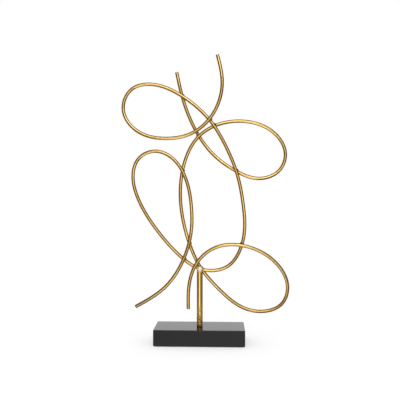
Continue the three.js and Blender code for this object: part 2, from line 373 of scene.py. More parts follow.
@dataclass(frozen=True)
class GoldLeaf:
    """Gold leaf under varnish: darker where it is thin, browner and matter towards the foot, bare at cut
    ends, with a painted shade at a rod's last end and a painted highlight on a bead's crown.

    Attributes:
        name: Name of the material.
        bright: Colour of thick leaf.
        deep: Colour of thin leaf.
        ground: Brown of the ground that shows in specks, and that the leaf darkens to towards the foot.
        steel: Colour of the bare steel at cut ends, and of the painted shade along a rod's last end.
        edge_tint: Tint of the reflection at a grazing angle.
        smooth: Roughness of burnished leaf.
        rough: Roughness of grainy leaf.
        specks: Share of the ground that shows in a speck.
        cloud_scale: Clouds of tone in a metre.
        grain_scale: Grains in a metre.
        speck_scale: Specks in a metre.
        blotch_scale: Blotches of the darkening towards the foot in a metre.
        grain_bump: Share of the grain's bump that shows.
        grain_depth: Depth of the grain.
        foot_height: Height above which the leaf no longer darkens towards the foot.
        foot_bottom: Height at which that darkening is strongest.
        foot_share: Its strength there.
        foot_dull: Roughness of the full darkening.
        foot_matt: Share of the metal that the full darkening takes away.
        blotch_least: Share of the darkening that is left between blotches.
        grain_shares: Shares of the darkening in the hollows and on the heights of the grain.
        metal: Share of metal; the front post bead has less, which makes its crown a pale, even painted
            highlight.
        rim: Colour of a bead's rim round a crown of painted highlight, or None for a piece without.
    """

    name: str
    bright: Colour = (0.86, 0.61, 0.24)
    deep: Colour = (0.77, 0.50, 0.145)
    ground: Colour = (0.13, 0.065, 0.025)
    steel: Colour = (0.27, 0.19, 0.11)
    edge_tint: Colour = (0.85, 0.45, 0.05)
    smooth: float = 0.09
    rough: float = 0.17
    specks: float = 0.3
    cloud_scale: float = 26.0
    grain_scale: float = 1100.0
    speck_scale: float = 420.0
    blotch_scale: float = 330.0
    grain_bump: float = 0.15
    grain_depth: float = 0.00006
    foot_height: float = 0.17
    foot_bottom: float = 0.04
    foot_share: float = 0.45
    foot_dull: float = 0.0
    foot_matt: float = 0.0
    blotch_least: float = 0.25
    grain_shares: tuple[float, float] = (0.6, 0.9)
    metal: float = 1.0
    rim: Colour | None = None

    def material(self) -> bpy.types.Material:
        """Builds the material from the gilding group.

        Returns:
            The material.
        """
        sheet, shader, material = new_material(self.name)
        place = sheet.object_place()
        scales = {
            "Vector": place,
            "Cloud Scale": self.cloud_scale,
            "Grain Scale": self.grain_scale,
            "Speck Scale": self.speck_scale,
            "Blotch Scale": self.blotch_scale,
        }
        leaf = sheet.add("Group", scales, node_tree=GILDING).outputs
        foot_darkening = self.foot_darkening(sheet, sheet.along("Z", place), leaf["Blotch"], leaf["Grain"])
        tone = sheet.blend(leaf["Cloud"], self.deep, self.bright)
        bare = sheet.most(sheet.times(leaf["Speck"], self.specks), foot_darkening)
        tone = sheet.blend(bare, tone, self.ground)
        # A rim colour marks a bead whose crown colours are a painted highlight.
        if self.rim is not None:
            tone = sheet.blend(sheet.attribute("rim"), tone, self.rim)
        roughness = sheet.span(leaf["Grain"], 0.0, 1.0, self.smooth, self.rough)
        values = {
            # The cut ends' attribute also brings a painted shade to a rod's last end, in the steel
            # colour.
            "Base Color": sheet.blend(sheet.attribute("bare_end_and_painted_shade"), tone, self.steel),
            "Roughness": sheet.most(roughness, sheet.times(foot_darkening, self.foot_dull)),
            "Metallic": sheet.span(foot_darkening, 0.0, 1.0, self.metal, self.metal * (1 - self.foot_matt)),
            "Normal": sheet.bump(leaf["Grain"], self.grain_bump, self.grain_depth),
            "Specular Tint": shaded(self.edge_tint),
        }
        sheet.fill(shader, values)
        return material

    def foot_darkening(self, sheet: NodeSheet, height: Socket, blotch: Socket, grain: Socket) -> Socket:
        """Darkening that grows towards the foot, broken up by blotches and grain.

        Args:
            sheet: Nodes of the material.
            height: Socket of the height.
            blotch: Socket of the blotches.
            grain: Socket of the leaf's grain.

        Returns:
            The socket of the darkening, 0 to 1 or a little more.
        """
        depth = sheet.span(height, self.foot_height, self.foot_bottom, 0.0, self.foot_share)
        patches = sheet.span(blotch, 0.0, 1.0, self.blotch_least)
        return sheet.times(sheet.times(depth, patches), sheet.span(grain, 0.0, 1.0, *self.grain_shares))


@dataclass(frozen=True)
class BlackLacquer:
    """Glossy black lacquer with faint smears, a little dust and the slight waves of a sprayed coat.

    Attributes:
        name: Name of the material.
        black: Colour of the lacquer.
        dust: Colour of the dust.
        gloss: Roughness of clean lacquer.
        smeared: Roughness of a smear.
        smear_scale: Smears in a metre.
        dust_scale: Specks of dust in a metre.
        wave_scale: Waves in a metre.
        wave_bump: Share of the waves' bump that shows.
        wave_depth: Depth of the waves.
    """

    name: str = "black_lacquer"
    black: Colour = (0.0015, 0.0015, 0.0018)
    dust: Colour = (0.020, 0.019, 0.018)
    gloss: float = 0.07
    smeared: float = 0.16
    smear_scale: float = 22.0
    dust_scale: float = 900.0
    wave_scale: float = 260.0
    wave_bump: float = 0.06
    wave_depth: float = 0.0001

    def material(self) -> bpy.types.Material:
        """Builds the material from the handling group.

        Returns:
            The material.
        """
        sheet, shader, material = new_material(self.name)
        place = sheet.object_place()
        scales = {"Vector": place, "Smear Scale": self.smear_scale, "Dust Scale": self.dust_scale}
        traces = sheet.add("Group", scales, node_tree=HANDLING).outputs
        waves = sheet.noise(place, self.wave_scale, detail=1.0)
        values = {
            "Base Color": sheet.blend(traces["Dust"], self.black, self.dust),
            "Roughness": sheet.span(traces["Smear"], 0.0, 1.0, self.gloss, self.smeared),
            "Normal": sheet.bump(waves, self.wave_bump, self.wave_depth),
        }
        sheet.fill(shader, values)
        return material


@dataclass(frozen=True)
class BlackFelt:
    """Pressed black felt: short fibres in all directions, with paler ones among them.

    Attributes:
        name: Name of the material.
        dark: Colour of most fibres.
        pale: Colour of the paler fibres.
        fibre_scale: Fibres in a metre.
        fibre_span: Noise of the darkest and of the palest fibres.
        clump_scale: Clumps of fibres in a metre.
        clump_span: Noise between the clumps and in them.
        clump_least: Share of the pale fibres that shows between the clumps.
        roughness: Roughness between the clumps and in them.
        pile_bump: Share of the pile's bump that shows.
        pile_depth: Depth of the pile.
        sheen: Strength of the sheen.
    """

    name: str = "black_felt"
    dark: Colour = (0.010, 0.010, 0.011)
    pale: Colour = (0.045, 0.044, 0.046)
    fibre_scale: float = 1500.0
    fibre_span: tuple[float, float] = (0.35, 0.7)
    clump_scale: float = 180.0
    clump_span: tuple[float, float] = (0.3, 0.7)
    clump_least: float = 0.5
    roughness: tuple[float, float] = (0.9, 1.0)
    pile_bump: float = 0.8
    pile_depth: float = 0.0004
    sheen: float = 0.25

    def material(self) -> bpy.types.Material:
        """Builds the material from a fine and a coarse noise.

        Returns:
            The material.
        """
        sheet, shader, material = new_material(self.name)
        place = sheet.object_place()
        fibres = sheet.noise(place, self.fibre_scale, detail=5.0, roughness=0.75)
        clumps = sheet.noise(place, self.clump_scale, detail=2.0)
        clumped = sheet.span(clumps, *self.clump_span, self.clump_least)
        share = sheet.times(sheet.span(fibres, *self.fibre_span), clumped)
        values = {
            "Base Color": sheet.blend(share, self.dark, self.pale),
            "Roughness": sheet.span(clumps, *self.clump_span, *self.roughness),
            "Normal": sheet.bump(fibres, self.pile_bump, self.pile_depth),
            "Sheen Weight": self.sheen,
        }
        sheet.fill(shader, values)
        return material


@dataclass(frozen=True)
class ZincPlate:
    """Bright zinc plate on the bolt and its washer, with a grey spangle and smears of oil.

    Attributes:
        name: Name of the material.
        bright: Colour of the brightest spangle.
        dull: Colour of the dullest spangle.
        spangle_scale: Cells of spangle in a metre.
        smear_scale: Smears in a metre.
        clean: Roughness of clean plate.
        oily: Roughness of a smear.
    """

    name: str = "zinc_plate"
    bright: Colour = (0.58, 0.59, 0.60)
    dull: Colour = (0.40, 0.41, 0.42)
    spangle_scale: float = 900.0
    smear_scale: float = 160.0
    clean: float = 0.28
    oily: float = 0.48

    def material(self) -> bpy.types.Material:
        """Builds the material from spangle cells and the handling group.

        Returns:
            The material.
        """
        sheet, shader, material = new_material(self.name)
        place = sheet.object_place()
        scales = {"Vector": place, "Smear Scale": self.smear_scale}
        traces = sheet.add("Group", scales, node_tree=HANDLING).outputs
        cells = sheet.add("TexVoronoi", {"Vector": place, "Scale": self.spangle_scale}).outputs["Color"]
        shade = sheet.add("SeparateColor", {0: cells}).outputs[0]
        values = {
            "Base Color": sheet.blend(shade, self.dull, self.bright),
            "Roughness": sheet.span(traces["Smear"], 0.0, 1.0, self.clean, self.oily),
            "Metallic": 1.0,
        }
        sheet.fill(shader, values)
        return material


@dataclass
class Surface:
    """A grid of points, rings by columns, whose columns go right round.

    Attributes:
        points: Places, an array of rings by columns by 3.
        ends: How the first and last rings are closed.
        shares: Values for the vertices, rings by columns, by the name of their attribute.
    """

    points: np.ndarray
    ends: Ends = Ends.CAPPED
    shares: dict[str, np.ndarray] = field(default_factory=dict)

    def quads(self) -> np.ndarray:
        """The faces between neighbouring rings and columns.

        Returns:
            An array of four vertex numbers for each face.
        """
        rings, columns = self.points.shape[:2]
        spans = rings if self.ends is Ends.JOINED else rings - 1
        ring, column = np.meshgrid(np.arange(spans), np.arange(columns), indexing="ij")
        here, there = ring * columns, (ring + 1) % rings * columns
        following = (column + 1) % columns
        corners = [here + column, here + following, there + following, there + column]
        return np.stack(corners, -1).reshape(-1, 4)

    def caps(self) -> np.ndarray:
        """The fans that close the first and the last ring on their middle points.

        Returns:
            An array of three vertex numbers for each face.
        """
        rings, columns = self.points.shape[:2]
        column = np.arange(columns)
        following = (column + 1) % columns
        count = rings * columns
        last = count - columns
        first_fan = np.stack([np.full(columns, count), following, column], -1)
        last_fan = np.stack([np.full(columns, count + 1), last + column, last + following], -1)
        return np.concatenate([first_fan, last_fan])

    def vertices(self, grid: np.ndarray) -> np.ndarray:
        """Puts a grid in the order of the vertices: ring by ring, then the means of capped end rings.

        Args:
            grid: Places or values, rings by columns.

        Returns:
            A row for each vertex.
        """
        rows = grid.reshape(-1, *grid.shape[2:])
        if self.ends is Ends.CAPPED:
            rows = np.concatenate([rows, grid[[0, -1]].mean(axis=1)])
        return rows

    def mesh(self, name: str) -> bpy.types.Mesh:
        """Puts the grid into a mesh with smooth faces that point outwards.

        The sign of the volume, a sixth of the sum of the corners' triple products, says which way they
        point.

        Args:
            name: Name of the mesh.

        Returns:
            The mesh.
        """
        places = self.vertices(self.points)
        quads = self.quads()
        triangles = np.concatenate([quads[:, [0, 1, 2]], quads[:, [0, 2, 3]]])
        faces = quads.tolist()
        if self.ends is Ends.CAPPED:
            fans = self.caps()
            triangles = np.concatenate([triangles, fans])
            faces += fans.tolist()
        a, b, c = (places[triangles[:, corner]] for corner in range(3))
        volume = np.einsum("ij,ij->", a, np.cross(b, c))
        mesh = bpy.data.meshes.new(name)
        mesh.from_pydata(places.tolist(), [], faces)
        if volume < 0:
            mesh.flip_normals()
        for title, share in self.shares.items():
            attribute = mesh.attributes.new(title, "FLOAT", "POINT")
            attribute.data.foreach_set("value", self.vertices(share).astype(np.float32))
        mesh.polygons.foreach_set("use_smooth", np.ones(len(mesh.polygons), bool))
        mesh.validate()
        mesh.update()
        return mesh


def show(
    surface: Surface, name: str, material: bpy.types.Material, slot: Slot, *nodes: str
) -> bpy.types.Object:
    """Makes a piece that stands for CAD nodes.

    Args:
        surface: Shape of the piece.
        name: Name of the piece.
        material: Its finish.
        slot: Material slot of the record; not used.
        nodes: CAD nodes that it stands for.

    Returns:
        The piece, riding on the sculpture's only body.
    """
    piece = bpy.data.objects.new(name, surface.mesh(name))
    piece.data.materials.append(material)
    bpy.context.scene.collection.objects.link(piece)
    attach(piece, BODY)
    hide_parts(*nodes)
    log.info("%s: %d faces, %s", name, len(piece.data.polygons), material.name)
    return piece


def round_turn(columns: int) -> np.ndarray:
    """Directions of columns that stand evenly all the way round."""
    return np.linspace(0.0, 2 * math.pi, columns, endpoint=False)


def quarter_round(radius: float, steps: int) -> np.ndarray:
    """A quarter circle as insets and drops, from a flat end out to the side.

    Args:
        radius: Radius of the edge.
        steps: Number of spans.

    Returns:
        Rows of inset from the side and drop from the end.
    """
    turn = np.linspace(0.0, math.pi / 2, steps + 1)
    return radius * np.stack([1 - np.sin(turn), 1 - np.cos(turn)], axis=-1)


def natural_spline(points: np.ndarray, places: np.ndarray) -> tuple[np.ndarray, np.ndarray]:
    """Natural cubic spline: cubic spans through the points, which share a bend where they meet.

    The ends have no bend. The spans' lengths are the distances between the points, and the bends solve
    a three-diagonal set of equations.

    Args:
        points: Points that the line passes through, n by 3.
        places: Distances along the straight spans, m values.

    Returns:
        The places on the line and its directions, each m by 3.
    """
    spans = np.linalg.norm(np.diff(points, axis=0), axis=1)
    knots = np.concatenate([[0.0], np.cumsum(spans)])
    slopes = np.diff(points, axis=0) / spans[:, None]
    diagonals = np.diag(2 * (spans[:-1] + spans[1:]))
    diagonals += np.diag(spans[1:-1], 1) + np.diag(spans[1:-1], -1)
    bends = np.zeros_like(points)
    bends[1:-1] = np.linalg.solve(diagonals, 6 * np.diff(slopes, axis=0))
    span = np.clip(np.searchsorted(knots, places, side="right") - 1, 0, len(spans) - 1)
    length = spans[span][:, None]
    right = (places - knots[span])[:, None] / length
    left = 1 - right
    cubic = (left**3 - left) * bends[span] + (right**3 - right) * bends[span + 1]
    slope = (1 - 3 * left**2) * bends[span] + (3 * right**2 - 1) * bends[span + 1]
    line = left * points[span] + right * points[span + 1] + length**2 / 6 * cubic
    way = slopes[span] + length / 6 * slope
    return line, way / np.linalg.norm(way, axis=1)[:, None]


@dataclass
class BentRod:
    """A round steel rod bent along a listed route and covered with gold leaf.

    Attributes:
        name: Name of the piece.
        node: CAD node that it stands for.
        route: Points of the route, in pattern squares and rod pitches.
        saddle: Height at which the left loop rod lies on the post.
        radius: Radius of the rod.
        edge: Rounding of the cut ends.
        edge_rings: Number of rings on that rounding.
        end_share: Share of the radius at which the innermost ring of a cut end lies.
        step: Distance between rings.
        sides: Number of columns round the rod.
        unevenness: Depth of the slow waves that bending and gilding leave.
        waves: Each wave's number round the rod, and its winding along it in radians a metre.
        worn: Length at a cut end over which the leaf has gone.
        painted_shade: Length at the last end over which a painted shade darkens the leaf towards the
            steel colour.
        painted_shade_share: Strength of that painted shade at that end.
        walk_places: Number of places in the fine walk that measures the rod.
        fine_step: Distance between the places that distances are taken from.
    """

    name: str
    node: str
    route: list[list[float]]
    saddle: float
    radius: float = ROD_RADIUS
    edge: float = 0.0004
    edge_rings: int = 5
    end_share: float = 0.8
    step: float = 0.0016
    sides: int = 24
    unevenness: float = 0.00003
    waves: tuple[tuple[int, float], ...] = ((2, 570.0), (3, -910.0))
    worn: float = 0.0012
    painted_shade: float = 0.0012
    painted_shade_share: float = 1.0
    walk_places: int = 6000
    fine_step: float = 0.0004

    @cached_property
    def points(self) -> np.ndarray:
        """Turns the route into metres.

        Returns:
            Its points, n by 3.
        """
        right, up, layer = np.array(self.route, float).T
        height = self.saddle + up * PATTERN_SQUARE
        return np.stack([right * PATTERN_SQUARE, -layer * LAYER_PITCH, height], axis=1)

    @cached_property
    def walk(self) -> tuple[np.ndarray, np.ndarray]:
        """Walks the spline finely, so that lengths along it can be turned into places on it.

        Returns:
            Distances along the route's straight spans, and the lengths along the rod up to them.
        """
        chords = np.linalg.norm(np.diff(self.points, axis=0), axis=1).sum()
        fine = np.linspace(0.0, chords, self.walk_places)
        walked, _ = natural_spline(self.points, fine)
        steps = np.linalg.norm(np.diff(walked, axis=0), axis=1)
        return fine, np.concatenate([[0.0], np.cumsum(steps)])

    @property
    def length(self) -> float:
        """The rod's whole length."""
        return self.walk[1][-1]

    def middle_line(self, ways: np.ndarray) -> tuple[np.ndarray, np.ndarray]:
        """The rod's middle line, a natural spline through the route's points.

        Args:
            ways: Lengths along the rod, from its first end.

        Returns:
            The places and the directions there.
        """
        fine, lengths = self.walk
        return natural_spline(self.points, np.interp(ways, lengths, fine))

    @cached_property
    def fine_line(self) -> np.ndarray:
        """Places on the middle line, close enough together to measure distances from."""
        return self.middle_line(np.arange(0.0, self.length, self.fine_step))[0]

    def distance(self, places: np.ndarray, middle: np.ndarray, reach: float) -> np.ndarray:
        """Distances from the rod's surface, measured from the stretches near a given place.

        Args:
            places: Places, an array of any shape by 3.
            middle: Place whose surroundings count.
            reach: Radius of those surroundings.

        Returns:
            The distances, negative inside the rod, and large where the rod is out of reach.
        """
        near = self.fine_line[np.linalg.norm(self.fine_line - middle, axis=1) < reach]
        if not len(near):
            return np.full(places.shape[:-1], reach)
        away, line = places - middle, near - middle
        squares = (away**2).sum(axis=-1)[..., None] + (line**2).sum(axis=-1) - 2 * away @ line.T
        return np.sqrt(np.maximum(squares.min(axis=-1), 0.0)) - self.radius

    def profile(self) -> tuple[np.ndarray, np.ndarray]:
        """Lengths and radii of the rings.

        They follow a flat end, its quarter-round edge, the rod, and the same at the far end.

        Returns:
            The length along the rod and the radius of each ring.
        """
        inset, drop = quarter_round(self.edge, self.edge_rings - 1).T
        edge_ways = np.concatenate([[0.0], drop])
        edge_radii = np.concatenate([[self.end_share * self.radius], self.radius - inset])
        count = round((self.length - 2 * self.edge) / self.step)
        body = np.linspace(self.edge, self.length - self.edge, count + 1)[1:-1]
        ways = np.concatenate([edge_ways, body, self.length - edge_ways[::-1]])
        radii = np.concatenate([edge_radii, np.full(len(body), self.radius), edge_radii[::-1]])
        return ways, radii

    def surface(self) -> Surface:
        """Carries a circle along the middle line.

        A ring's two axes are the direction across the rod nearest to the depth, and the one square to
        both. Its radius has two slow waves that wind round the rod in opposite ways.

        Returns:
            The surface, with the bareness of the cut ends and the painted shade on its last end as one
            attribute.
        """
        ways, radii = self.profile()
        line, way = self.middle_line(ways)
        deep = np.array([0.0, 1.0, 0.0])
        across = deep - (way @ deep)[:, None] * way
        across /= np.linalg.norm(across, axis=1)[:, None]
        beside = np.cross(across, way)
        turn = round_turn(self.sides)
        waves = [np.sin(count * turn + winding * ways[:, None]) for count, winding in self.waves]
        radius = radii[:, None] - self.unevenness * (1 + np.mean(waves, axis=0))
        spokes = np.cos(turn)[:, None] * beside[:, None] + np.sin(turn)[:, None] * across[:, None]
        far_way = self.length - ways
        cut = np.clip(1 - np.minimum(ways, far_way) / self.worn, 0.0, 1.0)
        # The rod's last end takes a painted shade over its given length, kept in the cut ends' attribute.
        tail_shade = self.painted_shade_share * np.clip(1 - far_way / self.painted_shade, 0.0, 1.0)
        shares = {"bare_end_and_painted_shade": np.repeat(np.maximum(cut, tail_shade)[:, None], self.sides, axis=1)}
        return Surface(line[:, None] + radius[..., None] * spokes, shares=shares)

    def build(self, finish: GoldLeaf) -> None:
        """Makes the rod and gilds it."""
        show(self.surface(), self.name, finish.material(), Slot.ROD, self.node)


@dataclass
class Post:
    """The round post: drilled and tapped at the foot, and hollowed at the top to take the rods.

    Attributes:
        rods: Rods that lie in its top.
        radius: Radius of the post.
        foot: Height of its foot.
        top: Height of the lips in front of and behind the rods.
        hole_radius: Radius of the tapped hole.
        hole_end: Height of the hole's end.
        chamfer: Width of the chamfer round the foot.
        sides: Number of columns.
        wall_rings: Number of rings up the wall.
        top_rings: Number of rings on the top.
        hub_share: Share of the radius at which the top's innermost ring lies.
        near_radii: Distance in post radii within which a rod counts for the top.
    """

    rods: list[BentRod]
    radius: float
    foot: float
    top: float
    hole_radius: float = 0.0028
    hole_end: float = 0.0465
    chamfer: float = 0.00025
    sides: int = 64
    wall_rings: int = 39
    top_rings: int = 23
    hub_share: float = 0.05
    near_radii: float = 3.0

    def top_height(self, x: np.ndarray, y: np.ndarray) -> np.ndarray:
        """Height of the hollowed top: that of the lips, or of the rods' undersides where those are lower.

        A rod is the space swept by a ball along its middle line, so its underside over a point is the
        lowest place that the ball reaches there.

        Args:
            x: Places to the right.
            y: Places in depth.

        Returns:
            Heights, in the shape of x.
        """
        height = np.full(x.shape, self.top)
        reach = self.near_radii * self.radius
        for rod in self.rods:
            line, _ = rod.middle_line(np.arange(0.0, rod.length, rod.step))
            near = line[np.hypot(line[:, 0], line[:, 1]) < reach]
            near = near[np.abs(near[:, 2] - self.top) < reach]
            flat = (x[..., None] - near[:, 0]) ** 2 + (y[..., None] - near[:, 1]) ** 2
            inside = rod.radius**2 - flat
            under = np.where(inside > 0, near[:, 2] - np.sqrt(np.maximum(inside, 0.0)), self.top)
            height = np.minimum(height, under.min(axis=-1))
        return height

    def distance(self, places: np.ndarray) -> np.ndarray:
        """Distances from the post's wall or its top, whichever is further, negative inside."""
        wall = np.hypot(places[..., 0], places[..., 1]) - self.radius
        return np.maximum(wall, places[..., 2] - self.top)

    def surface(self) -> Surface:
        """Turns a profile about the Z axis, from the hole's end to the foot, and up to the hollowed top.

        Returns:
            The surface.
        """
        start = self.foot + self.chamfer
        profile = np.array(
            [
                [self.hole_radius / 2, self.hole_end],
                [self.hole_radius, self.hole_end],
                [self.hole_radius, self.foot],
                [(self.hole_radius + self.radius) / 2, self.foot],
                [self.radius - self.chamfer, self.foot],
                [self.radius, start],
            ]
        )
        turn = round_turn(self.sides)
        rim = self.top_height(self.radius * np.cos(turn), self.radius * np.sin(turn))
        rises = np.linspace(0.0, 1.0, self.wall_rings + 1)[1:, None]
        wall_heights = start + rises * (rim - start)
        inward = self.radius * np.linspace(1.0, self.hub_share, self.top_rings + 1)[1:, None]
        top_heights = self.top_height(inward * np.cos(turn), inward * np.sin(turn))
        profile_heights = np.repeat(profile[:, 1:], self.sides, axis=1)
        radii = np.concatenate([profile[:, :1], np.full((self.wall_rings, 1), self.radius), inward])
        heights = np.concatenate([profile_heights, wall_heights, top_heights])
        return Surface(np.stack([radii * np.cos(turn), radii * np.sin(turn), heights], axis=-1))

    def build(self, finish: GoldLeaf) -> None:
        """Makes the post and gilds it."""
        show(self.surface(), "post_bar", finish.material(), Slot.POST, "post")


@dataclass
class Weld:
    """A bead of weld that runs into the rods, and into the post where that is near, as melted metal does.

    Attributes:
        name: Name of the piece.
        node: CAD node that it stands for.
        rods: Rods that it may touch.
        post: Post that it may touch.
        flow: Width over which the bead and the pieces run together.
        deepest: Depth inside a piece, in flow widths, from which no more depth counts.
        sunk: Depth of the bead's rim below the pieces' surfaces.
        fade: How fast that depth grows with the square of the distance from the bead, in 1/m.
        ripple: Depth of the ripples that the weld pool left.
        ripple_waves: Ripples in a metre, times two pi.
        ripple_lean: Slope of the ripples' direction, its rise over its run.
        reach: Distance within which pieces count.
        crown: Height above the pieces from which the bead shows its crown colour, which on the front post
            bead is a painted highlight.
        sides: Number of columns.
        rings: Number of rings.
        steps: Number of distances that are tried in each direction.
    """

    name: str
    node: str
    rods: list[BentRod]
    post: Post
    flow: float = 0.0007
    deepest: float = 20.0
    sunk: float = 0.00006
    fade: float = 60.0
    ripple: float = 0.00004
    ripple_waves: float = 5200.0
    ripple_lean: float = 0.6
    reach: float = 0.014
    crown: float = 0.0005
    sides: int = 40
    rings: int = 30
    steps: int = 48

    def piece_distances(self, places: np.ndarray, middle: np.ndarray) -> np.ndarray:
        """Distances from each rod and from the post.

        Args:
            places: Places, an array of any shape by 3.
            middle: Middle of the bead.

        Returns:
            The distances, with the pieces on the first axis.
        """
        rods = [rod.distance(places, middle, self.reach) for rod in self.rods]
        return np.stack([*rods, self.post.distance(places)])

    def blended_distance(self, places: np.ndarray, middle: np.ndarray, half: np.ndarray) -> np.ndarray:
        """Distance from the bead and the pieces together.

        The bead is an oval with ripples. The distances are joined by a soft minimum, the logarithm of the
        sum of their falling exponentials, in which the pieces count less the further the place is from
        the bead.

        Args:
            places: Places, an array of any shape by 3.
            middle: Middle of the oval.
            half: Half sizes of the oval.

        Returns:
            The distances, negative inside.
        """
        away = places - middle
        oval = (np.linalg.norm(away / half, axis=-1) - 1) * half.min()
        oval += self.ripple * np.sin(self.ripple_waves * (away[..., 0] + self.ripple_lean * away[..., 2]))
        depth = self.sunk + self.fade * np.maximum(oval, 0.0) ** 2
        pieces = np.maximum(self.piece_distances(places, middle) + depth, -self.deepest * self.flow)
        total = np.exp(-oval / self.flow) + np.exp(-pieces / self.flow).sum(axis=0)
        return -self.flow * np.log(np.maximum(total, LEAST_SUM))

    def surface(self) -> Surface:
        """Looks from the bead's middle in all directions, by latitude and longitude, for the metal's end.

        The blended distance is tried at rising distances, and the first place where it turns positive is
        found by the straight line between the tries before and after it.

        Returns:
            The surface, with an attribute that is 1 at the bead's rim and 0 on its crown.
        """
        low, high = (np.array(corner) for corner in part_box(self.node))
        middle, half = (low + high) / 2, (high - low) / 2
        latitude = np.linspace(0.0, math.pi, self.rings + 2)[1:-1, None]
        turn = round_turn(self.sides)
        upright = np.repeat(np.cos(latitude), self.sides, axis=1)
        girth = np.sin(latitude)
        way = np.stack([girth * np.cos(turn), upright, girth * np.sin(turn)], axis=-1)
        tries = np.linspace(0.0, self.reach, self.steps)
        value = self.blended_distance(middle + way[..., None, :] * tries[:, None], middle, half)
        after = np.argmax(value > 0, axis=-1)
        after = np.where(after == 0, self.steps - 1, after)[..., None]
        inner = np.take_along_axis(value, after - 1, axis=-1)[..., 0]
        outer = np.take_along_axis(value, after, axis=-1)[..., 0]
        share = np.clip(inner / (inner - outer), 0.0, 1.0)
        distance = tries[after[..., 0] - 1] + share * (tries[1] - tries[0])
        points = middle + distance[..., None] * way
        height = self.piece_distances(points, middle).min(axis=0)
        return Surface(points, shares={"rim": np.clip(1 - height / self.crown, 0.0, 1.0)})

    def build(self, material: bpy.types.Material) -> None:
        """Makes the bead with the finish that it shares with others."""
        show(self.surface(), self.name, material, Slot.WELD, self.node)


@dataclass
class RoundedOutline:
    """A rectangle with round corners, as the distance from its middle in each direction.

    Attributes:
        half_width: Half of its width.
        half_depth: Half of its depth.
        radius: Radius of its corners.
        least_radius: Radius that the corners keep when the outline is drawn in.
        columns: Number of columns in the even round.
        fan_columns: Number of columns in the fan at a corner.
        fan_radii: Half of the fan's width, in corner radii.
    """

    half_width: float
    half_depth: float
    radius: float
    least_radius: float = 0.0002
    columns: int = 96
    fan_columns: int = 13
    fan_radii: float = 1.6

    def directions(self) -> np.ndarray:
        """Directions of the columns: an even round, and a fan of closer ones at each corner.

        Returns:
            The angles, in rising order.
        """
        reach = self.fan_radii * self.radius / math.hypot(self.half_width, self.half_depth)
        fan = np.linspace(-reach, reach, self.fan_columns)
        corner = math.atan2(self.half_depth, self.half_width)
        corners = np.array([corner, math.pi - corner, math.pi + corner, 2 * math.pi - corner])
        return np.unique(np.concatenate([round_turn(self.columns), (corners[:, None] + fan).ravel()]))

    def ring(self, turn: np.ndarray, inset: float) -> np.ndarray:
        """Where rays from the middle meet the outline: on a straight side, or on a corner's circle.

        Args:
            turn: Directions of the rays.
            inset: How far the outline is drawn in.

        Returns:
            Places in the XY plane, n by 2.
        """
        width, depth = self.half_width - inset, self.half_depth - inset
        radius = max(self.radius - inset, self.least_radius)
        way = np.stack([np.cos(turn), np.sin(turn)], axis=-1)
        size = np.maximum(np.abs(way), LEAST_DIVISOR)
        straight = np.minimum(width / size[:, 0], depth / size[:, 1])
        middle = np.array([width - radius, depth - radius])
        along = size @ middle
        root = np.maximum(along**2 - middle @ middle + radius**2, 0.0)
        rounded = along + np.sqrt(root)
        hit = straight[:, None] * size
        in_corner = (hit > middle).all(axis=1)
        return np.where(in_corner, rounded, straight)[:, None] * way


def stack_rings(rings: list[tuple[np.ndarray, float]]) -> np.ndarray:
    """Stacks level rings.

    Args:
        rings: Places in the XY plane, n by 2, and the height of each ring.

    Returns:
        The points, rings by columns by 3.
    """
    return np.stack([np.column_stack([flat, np.full(len(flat), height)]) for flat, height in rings])


@dataclass
class BaseBlock:
    """The black block, with round edges, drilled from below for the bolt and its washer.

    Attributes:
        corner_radius: Radius of the upright corners.
        edge_radius: Radius of the upper and lower edges.
        edge_steps: Number of spans on those edges.
        hole_radius: Radius of the bolt hole.
        bore_radius: Radius of the counterbore.
        bore_roof: Height of the counterbore's roof.
        support: Distance of the rings that keep the flat faces flat beside a round edge.
    """

    corner_radius: float = 0.0012
    edge_radius: float = 0.001
    edge_steps: int = 6
    hole_radius: float = 0.0029
    bore_radius: float = 0.0085
    bore_roof: float = 0.0092
    support: float = 0.0003

    def surface(self) -> Surface:
        """Rings up the counterbore and the bolt hole, over the top, down the sides and back below.

        Returns:
            The surface, whose last ring meets its first.
        """
        low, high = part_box("base_block")
        outline = RoundedOutline((high.x - low.x) / 2, (high.y - low.y) / 2, self.corner_radius)
        turn = outline.directions()
        circle = np.stack([np.cos(turn), np.sin(turn)], axis=-1)
        edge = quarter_round(self.edge_radius, self.edge_steps)
        flat = self.edge_radius + self.support
        bored = [
            (self.bore_radius + self.support, low.z),
            (self.bore_radius, low.z),
            (self.bore_radius, low.z + self.support),
            (self.bore_radius, self.bore_roof - self.support),
            (self.bore_radius, self.bore_roof),
            (self.bore_radius - self.support, self.bore_roof),
            (self.hole_radius + self.support, self.bore_roof),
            (self.hole_radius, self.bore_roof),
            (self.hole_radius, self.bore_roof + self.support),
            (self.hole_radius, high.z - self.support),
            (self.hole_radius, high.z),
            (self.hole_radius + self.support, high.z),
        ]
        sides = [
            (flat, high.z),
            *((inset, high.z - drop) for inset, drop in edge),
            (0.0, high.z - flat),
            (0.0, low.z + flat),
            *((inset, low.z + drop) for inset, drop in edge[::-1]),
            (flat, low.z),
        ]
        rings = [(radius * circle, height) for radius, height in bored]
        rings += [(outline.ring(turn, inset), height) for inset, height in sides]
        return Surface(stack_rings(rings), Ends.JOINED)

    def build(self, finish: BlackLacquer) -> None:
        """Makes the block and lacquers it."""
        show(self.surface(), "lacquered_block", finish.material(), Slot.LACQUER, "base_block")


